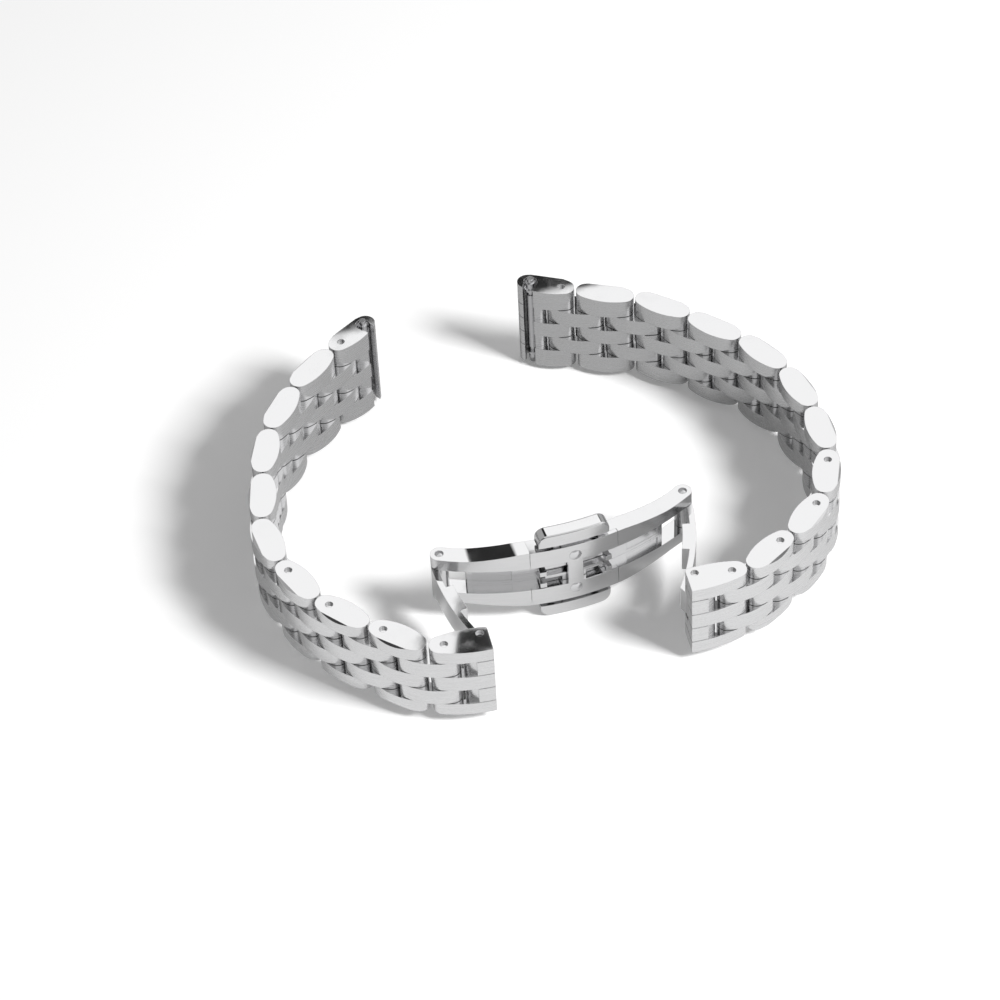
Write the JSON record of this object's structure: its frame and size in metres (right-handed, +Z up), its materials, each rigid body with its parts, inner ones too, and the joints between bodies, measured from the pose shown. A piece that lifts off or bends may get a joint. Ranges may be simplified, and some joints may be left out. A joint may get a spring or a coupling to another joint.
{
  "type": "watch bracelet",
  "caption": "Five-column link watch bracelet with an open butterfly clasp: oval plates on hinge pins, slotted lug ends with sprung bars, and push buttons that free the folding blades.",
  "frame": {"origin": "centre of the box that holds the open bracelet, on the ground it stands on", "axes": "+Z up, along the hinge pins; the clasp lies towards -Y and opens that way, the watch ends lie towards +Y"},
  "size_m": [0.0676, 0.0606, 0.0132],
  "materials": {
    "steel": "brushed faces with polished edges",
    "pin_steel": "polished",
    "spring_steel": "bright wire"
  },
  "bodies": {
    "clasp_frame": {"clasp_frame": "steel", "clasp_cover": "steel", "cover_rivets": "pin_steel", "blade_hinge_pins": "pin_steel", "button_springs": "spring_steel"},
    "button_upper": {"button_upper": "steel", "latch_upper": "steel"},
    "button_lower": {"button_lower": "steel", "latch_lower": "steel"},
    "left_blade": {"left_blade": "steel"},
    "left_clasp_end_link": {"left_clasp_end_link": "steel"},
    "left_inner_link_01": {"left_inner_link_01": "steel"},
    "left_outer_link_01": {"left_outer_link_01": "steel"},
    "left_inner_link_02": {"left_inner_link_02": "steel"},
    "left_outer_link_02": {"left_outer_link_02": "steel"},
    "left_inner_link_03": {"left_inner_link_03": "steel"},
    "left_outer_link_03": {"left_outer_link_03": "steel"},
    "left_inner_link_04": {"left_inner_link_04": "steel"},
    "left_outer_link_04": {"left_outer_link_04": "steel"},
    "left_inner_link_05": {"left_inner_link_05": "steel"},
    "left_outer_link_05": {"left_outer_link_05": "steel"},
    "left_inner_link_06": {"left_inner_link_06": "steel"},
    "left_outer_link_06": {"left_outer_link_06": "steel"},
    "left_inner_link_07": {"left_inner_link_07": "steel"},
    "left_outer_link_07": {"left_outer_link_07": "steel"},
    "left_inner_link_08": {"left_inner_link_08": "steel"},
    "left_outer_link_08": {"left_outer_link_08": "steel"},
    "left_inner_link_09": {"left_inner_link_09": "steel"},
    "left_lug_link": {"left_lug_link": "steel", "left_spring_bar": "steel", "left_bar_spring": "spring_steel"},
    "left_bar_tip_upper": {"left_bar_tip_upper": "pin_steel"},
    "left_bar_tip_lower": {"left_bar_tip_lower": "pin_steel"},
    "right_blade": {"right_blade": "steel"},
    "right_clasp_end_link": {"right_clasp_end_link": "steel"},
    "right_inner_link_01": {"right_inner_link_01": "steel"},
    "right_outer_link_01": {"right_outer_link_01": "steel"},
    "right_inner_link_02": {"right_inner_link_02": "steel"},
    "right_outer_link_02": {"right_outer_link_02": "steel"},
    "right_inner_link_03": {"right_inner_link_03": "steel"},
    "right_outer_link_03": {"right_outer_link_03": "steel"},
    "right_inner_link_04": {"right_inner_link_04": "steel"},
    "right_outer_link_04": {"right_outer_link_04": "steel"},
    "right_inner_link_05": {"right_inner_link_05": "steel"},
    "right_outer_link_05": {"right_outer_link_05": "steel"},
    "right_inner_link_06": {"right_inner_link_06": "steel"},
    "right_outer_link_06": {"right_outer_link_06": "steel"},
    "right_inner_link_07": {"right_inner_link_07": "steel"},
    "right_outer_link_07": {"right_outer_link_07": "steel"},
    "right_inner_link_08": {"right_inner_link_08": "steel"},
    "right_outer_link_08": {"right_outer_link_08": "steel"},
    "right_inner_link_09": {"right_inner_link_09": "steel"},
    "right_outer_link_09": {"right_outer_link_09": "steel"},
    "right_inner_link_10": {"right_inner_link_10": "steel"},
    "right_lug_link": {"right_lug_link": "steel", "right_spring_bar": "steel", "right_bar_spring": "spring_steel"},
    "right_bar_tip_upper": {"right_bar_tip_upper": "pin_steel"},
    "right_bar_tip_lower": {"right_bar_tip_lower": "pin_steel"}
  },
  "joints": [
    {"name": "left_blade_hinge", "type": "hinge", "parent": "clasp_frame", "child": "left_blade", "pos_m": [-0.01243, -0.01338, 0.00638], "axis": [0.0017, -0.0057, 1], "range_deg": [-8, 65.64]},
    {"name": "left_end_link_hinge", "type": "hinge", "parent": "left_blade", "child": "left_clasp_end_link", "pos_m": [-0.00828, -0.0274, 0.00629], "axis": [-0.0017, 0.0057, -1], "range_deg": [-7.87, 64.54]},
    {"name": "left_link_hinge_01", "type": "hinge", "parent": "left_clasp_end_link", "child": "left_inner_link_01", "pos_m": [-0.01222, -0.02872, 0.00629], "axis": [0.0017, -0.0057, 1], "range_deg": [-1.8, 14.81]},
    {"name": "left_link_hinge_02", "type": "hinge", "parent": "left_inner_link_01", "child": "left_outer_link_01", "pos_m": [-0.01568, -0.02796, 0.0063], "axis": [0.0017, -0.0057, 1], "range_deg": [-1.67, 13.71]},
    {"name": "left_link_hinge_03", "type": "hinge", "parent": "left_outer_link_01", "child": "left_inner_link_02", "pos_m": [-0.01876, -0.02601, 0.00632], "axis": [0.0017, -0.0057, 1], "range_deg": [-31, 14]},
    {"name": "left_link_hinge_04", "type": "hinge", "parent": "left_inner_link_02", "child": "left_outer_link_02", "pos_m": [-0.02179, -0.02416, 0.00634], "axis": [-0.0017, 0.0057, -1], "range_deg": [-22, 23]},
    {"name": "left_link_hinge_05", "type": "hinge", "parent": "left_outer_link_02", "child": "left_inner_link_03", "pos_m": [-0.02465, -0.02189, 0.00635], "axis": [0.0017, -0.0057, 1], "range_deg": [-22, 23]},
    {"name": "left_link_hinge_06", "type": "hinge", "parent": "left_inner_link_03", "child": "left_outer_link_03", "pos_m": [-0.0271, -0.01932, 0.00637], "axis": [-0.0017, 0.0057, -1], "range_deg": [-24, 21]},
    {"name": "left_link_hinge_07", "type": "hinge", "parent": "left_outer_link_03", "child": "left_inner_link_04", "pos_m": [-0.02918, -0.01631, 0.00639], "axis": [0.0017, -0.0057, 1], "range_deg": [-23, 22]},
    {"name": "left_link_hinge_08", "type": "hinge", "parent": "left_inner_link_04", "child": "left_outer_link_04", "pos_m": [-0.03082, -0.01317, 0.00641], "axis": [-0.0017, 0.0057, -1], "range_deg": [-24, 21]},
    {"name": "left_link_hinge_09", "type": "hinge", "parent": "left_outer_link_04", "child": "left_inner_link_05", "pos_m": [-0.03198, -0.00971, 0.00644], "axis": [0.0017, -0.0057, 1], "range_deg": [-15, 30]},
    {"name": "left_link_hinge_10", "type": "hinge", "parent": "left_inner_link_05", "child": "left_outer_link_05", "pos_m": [-0.03221, -0.00617, 0.00646], "axis": [-0.0017, 0.0057, -1], "range_deg": [-19, 26]},
    {"name": "left_link_hinge_11", "type": "hinge", "parent": "left_outer_link_05", "child": "left_inner_link_06", "pos_m": [-0.03218, -0.00252, 0.00648], "axis": [0.0017, -0.0057, 1], "range_deg": [-30, 15]},
    {"name": "left_link_hinge_12", "type": "hinge", "parent": "left_inner_link_06", "child": "left_outer_link_06", "pos_m": [-0.03216, 0.00103, 0.0065], "axis": [-0.0017, 0.0057, -1], "range_deg": [-22, 23]},
    {"name": "left_link_hinge_13", "type": "hinge", "parent": "left_outer_link_06", "child": "left_inner_link_07", "pos_m": [-0.03169, 0.00465, 0.00652], "axis": [0.0017, -0.0057, 1], "range_deg": [-23, 22]},
    {"name": "left_link_hinge_14", "type": "hinge", "parent": "left_inner_link_07", "child": "left_outer_link_07", "pos_m": [-0.0308, 0.00809, 0.00654], "axis": [-0.0017, 0.0057, -1], "range_deg": [-24, 21]},
    {"name": "left_link_hinge_15", "type": "hinge", "parent": "left_outer_link_07", "child": "left_inner_link_08", "pos_m": [-0.02935, 0.01144, 0.00655], "axis": [0.0017, -0.0057, 1], "range_deg": [-25, 20]},
    {"name": "left_link_hinge_16", "type": "hinge", "parent": "left_inner_link_08", "child": "left_outer_link_08", "pos_m": [-0.02767, 0.01456, 0.00657], "axis": [-0.0017, 0.0057, -1], "range_deg": [-24, 21]},
    {"name": "left_link_hinge_17", "type": "hinge", "parent": "left_outer_link_08", "child": "left_inner_link_09", "pos_m": [-0.02545, 0.01746, 0.00658], "axis": [0.0017, -0.0057, 1], "range_deg": [-26, 19]},
    {"name": "left_link_hinge_18", "type": "hinge", "parent": "left_inner_link_09", "child": "left_lug_link", "pos_m": [-0.0231, 0.02013, 0.00659], "axis": [-0.0017, 0.0057, -1], "range_deg": [-17, 28]},
    {"name": "left_tip_upper_slide", "type": "slide", "parent": "left_lug_link", "child": "left_bar_tip_upper", "axis": [-0.0017, 0.0057, -1], "range_m": [0, 0.00065], "stiffness_N_per_m": 2000, "springref_m": -0.0008},
    {"name": "left_tip_lower_slide", "type": "slide", "parent": "left_lug_link", "child": "left_bar_tip_lower", "axis": [0.0017, -0.0057, 1], "range_m": [0, 0.00065], "stiffness_N_per_m": 2000, "springref_m": -0.0008},
    {"name": "right_blade_hinge", "type": "hinge", "parent": "clasp_frame", "child": "right_blade", "pos_m": [0.01547, -0.00549, 0.00638], "axis": [-0.0017, 0.0057, -1], "range_deg": [-8, 51.34]},
    {"name": "right_end_link_hinge", "type": "hinge", "parent": "right_blade", "child": "right_clasp_end_link", "pos_m": [0.01567, -0.02011, 0.0063], "axis": [0.0017, -0.0057, 1], "range_deg": [-9.62, 61.74]},
    {"name": "right_link_hinge_01", "type": "hinge", "parent": "right_clasp_end_link", "child": "right_inner_link_01", "pos_m": [0.01982, -0.02, 0.00629], "axis": [-0.0017, 0.0057, -1], "range_deg": [-1.37, 8.81]},
    {"name": "right_link_hinge_02", "type": "hinge", "parent": "right_inner_link_01", "child": "right_outer_link_01", "pos_m": [0.023, -0.01841, 0.00629], "axis": [-0.0017, 0.0057, -1], "range_deg": [-1.98, 12.71]},
    {"name": "right_link_hinge_03", "type": "hinge", "parent": "right_outer_link_01", "child": "right_inner_link_02", "pos_m": [0.02556, -0.01581, 0.0063], "axis": [-0.0017, 0.0057, -1], "range_deg": [-31, 14]},
    {"name": "right_link_hinge_04", "type": "hinge", "parent": "right_inner_link_02", "child": "right_outer_link_02", "pos_m": [0.02809, -0.01332, 0.00631], "axis": [0.0017, -0.0057, 1], "range_deg": [-26, 19]},
    {"name": "right_link_hinge_05", "type": "hinge", "parent": "right_outer_link_02", "child": "right_inner_link_03", "pos_m": [0.03016, -0.01031, 0.00633], "axis": [-0.0017, 0.0057, -1], "range_deg": [-18, 27]},
    {"name": "right_link_hinge_06", "type": "hinge", "parent": "right_inner_link_03", "child": "right_outer_link_03", "pos_m": [0.03152, -0.00703, 0.00634], "axis": [0.0017, -0.0057, 1], "range_deg": [-27, 18]},
    {"name": "right_link_hinge_07", "type": "hinge", "parent": "right_outer_link_03", "child": "right_inner_link_04", "pos_m": [0.03218, -0.00344, 0.00636], "axis": [-0.0017, 0.0057, -1], "range_deg": [-20, 25]},
    {"name": "right_link_hinge_08", "type": "hinge", "parent": "right_inner_link_04", "child": "right_outer_link_04", "pos_m": [0.03221, 0.00011, 0.00638], "axis": [0.0017, -0.0057, 1], "range_deg": [-25, 20]},
    {"name": "right_link_hinge_09", "type": "hinge", "parent": "right_outer_link_04", "child": "right_inner_link_05", "pos_m": [0.03161, 0.0037, 0.0064], "axis": [-0.0017, 0.0057, -1], "range_deg": [-26, 19]},
    {"name": "right_link_hinge_10", "type": "hinge", "parent": "right_inner_link_05", "child": "right_outer_link_05", "pos_m": [0.03078, 0.00716, 0.00643], "axis": [0.0017, -0.0057, 1], "range_deg": [-23, 22]},
    {"name": "right_link_hinge_11", "type": "hinge", "parent": "right_outer_link_05", "child": "right_inner_link_06", "pos_m": [0.02944, 0.01055, 0.00645], "axis": [-0.0017, 0.0057, -1], "range_deg": [-22, 23]},
    {"name": "right_link_hinge_12", "type": "hinge", "parent": "right_inner_link_06", "child": "right_outer_link_06", "pos_m": [0.0277, 0.01364, 0.00647], "axis": [0.0017, -0.0057, 1], "range_deg": [-25, 20]},
    {"name": "right_link_hinge_13", "type": "hinge", "parent": "right_outer_link_06", "child": "right_inner_link_07", "pos_m": [0.02537, 0.01646, 0.00649], "axis": [-0.0017, 0.0057, -1], "range_deg": [-21, 24]},
    {"name": "right_link_hinge_14", "type": "hinge", "parent": "right_inner_link_07", "child": "right_outer_link_07", "pos_m": [0.02272, 0.01881, 0.00651], "axis": [0.0017, -0.0057, 1], "range_deg": [-20, 25]},
    {"name": "right_link_hinge_15", "type": "hinge", "parent": "right_outer_link_07", "child": "right_inner_link_08", "pos_m": [0.01978, 0.02098, 0.00652], "axis": [-0.0017, 0.0057, -1], "range_deg": [-30, 15]},
    {"name": "right_link_hinge_16", "type": "hinge", "parent": "right_inner_link_08", "child": "right_outer_link_08", "pos_m": [0.01693, 0.02309, 0.00654], "axis": [0.0017, -0.0057, 1], "range_deg": [-21, 24]},
    {"name": "right_link_hinge_17", "type": "hinge", "parent": "right_outer_link_08", "child": "right_inner_link_09", "pos_m": [0.01378, 0.02495, 0.00656], "axis": [-0.0017, 0.0057, -1], "range_deg": [-17, 28]},
    {"name": "right_link_hinge_18", "type": "hinge", "parent": "right_inner_link_09", "child": "right_outer_link_09", "pos_m": [0.0104, 0.02601, 0.00657], "axis": [0.0017, -0.0057, 1], "range_deg": [-19, 26]},
    {"name": "right_link_hinge_19", "type": "hinge", "parent": "right_outer_link_09", "child": "right_inner_link_10", "pos_m": [0.00685, 0.02687, 0.00658], "axis": [-0.0017, 0.0057, -1], "range_deg": [-32, 13]},
    {"name": "right_link_hinge_20", "type": "hinge", "parent": "right_inner_link_10", "child": "right_lug_link", "pos_m": [0.00343, 0.02781, 0.00659], "axis": [0.0017, -0.0057, 1], "range_deg": [-14, 31]},
    {"name": "right_tip_upper_slide", "type": "slide", "parent": "right_lug_link", "child": "right_bar_tip_upper", "axis": [-0.0017, 0.0057, -1], "range_m": [0, 0.00065], "stiffness_N_per_m": 2000, "springref_m": -0.0008},
    {"name": "right_tip_lower_slide", "type": "slide", "parent": "right_lug_link", "child": "right_bar_tip_lower", "axis": [0.0017, -0.0057, 1], "range_m": [0, 0.00065], "stiffness_N_per_m": 2000, "springref_m": -0.0008},
    {"name": "button_upper_slide", "type": "slide", "parent": "clasp_frame", "child": "button_upper", "axis": [-0.0017, 0.0057, -1], "range_m": [0, 0.00045], "stiffness_N_per_m": 1500, "springref_m": -0.0008},
    {"name": "button_lower_slide", "type": "slide", "parent": "clasp_frame", "child": "button_lower", "axis": [0.0017, -0.0057, 1], "range_m": [0, 0.00045], "stiffness_N_per_m": 1500, "springref_m": -0.0008}
  ],
  "couplings": [
    {"joint": "left_end_link_hinge", "follows": "left_blade_hinge", "ratio": 0.98337},
    {"joint": "left_link_hinge_01", "follows": "left_blade_hinge", "ratio": 0.22561},
    {"joint": "left_link_hinge_02", "follows": "left_blade_hinge", "ratio": 0.20896},
    {"joint": "right_end_link_hinge", "follows": "right_blade_hinge", "ratio": 1.2027},
    {"joint": "right_link_hinge_01", "follows": "right_blade_hinge", "ratio": 0.17158},
    {"joint": "right_link_hinge_02", "follows": "right_blade_hinge", "ratio": 0.24768}
  ]
}
